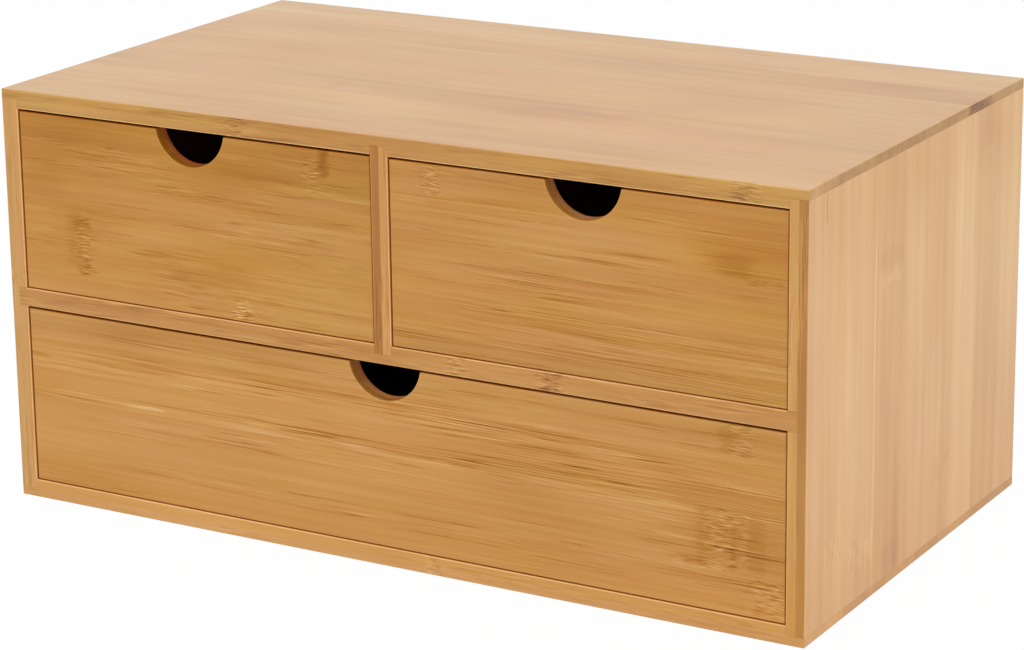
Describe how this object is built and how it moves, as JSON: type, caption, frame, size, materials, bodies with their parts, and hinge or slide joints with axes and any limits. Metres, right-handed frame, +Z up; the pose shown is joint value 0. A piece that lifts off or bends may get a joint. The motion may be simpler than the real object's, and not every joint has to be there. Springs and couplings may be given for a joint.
{
  "type": "desktop mini drawers",
  "caption": "Low bamboo desktop case with small drawers side by side over a wide drawer, each front with a half-round finger notch in its top edge.",
  "frame": {"origin": "middle of the base, on the surface that the case stands on", "axes": "+X to the right as seen from the front, +Y to the back, +Z up; the drawers open along -Y"},
  "size_m": [0.35, 0.198, 0.169],
  "materials": {
    "case_bamboo": "satin lacquered bamboo board, two plies",
    "front_bamboo": "satin lacquered bamboo board, grain along the front",
    "box_bamboo": "sanded bamboo board",
    "thin_bamboo_panel": "sanded thin bamboo panel"
  },
  "bodies": {
    "case": {"top_panel": "case_bamboo", "bottom_panel": "case_bamboo", "left_side_panel": "case_bamboo", "right_side_panel": "case_bamboo", "middle_shelf": "case_bamboo", "divider": "case_bamboo", "back_panel": "thin_bamboo_panel"},
    "left_drawer": {"left_drawer_front": "front_bamboo", "left_drawer_left_side": "box_bamboo", "left_drawer_right_side": "box_bamboo", "left_drawer_back": "box_bamboo", "left_drawer_bottom": "thin_bamboo_panel"},
    "right_drawer": {"right_drawer_front": "front_bamboo", "right_drawer_left_side": "box_bamboo", "right_drawer_right_side": "box_bamboo", "right_drawer_back": "box_bamboo", "right_drawer_bottom": "thin_bamboo_panel"},
    "wide_drawer": {"wide_drawer_front": "front_bamboo", "wide_drawer_left_side": "box_bamboo", "wide_drawer_right_side": "box_bamboo", "wide_drawer_back": "box_bamboo", "wide_drawer_bottom": "thin_bamboo_panel"}
  },
  "joints": [
    {"name": "left_drawer_slide", "type": "slide", "parent": "case", "child": "left_drawer", "axis": [0, -1, 0], "range_m": [0, 0.15]},
    {"name": "right_drawer_slide", "type": "slide", "parent": "case", "child": "right_drawer", "axis": [0, -1, 0], "range_m": [0, 0.15]},
    {"name": "wide_drawer_slide", "type": "slide", "parent": "case", "child": "wide_drawer", "axis": [0, -1, 0], "range_m": [0, 0.15]}
  ]
}
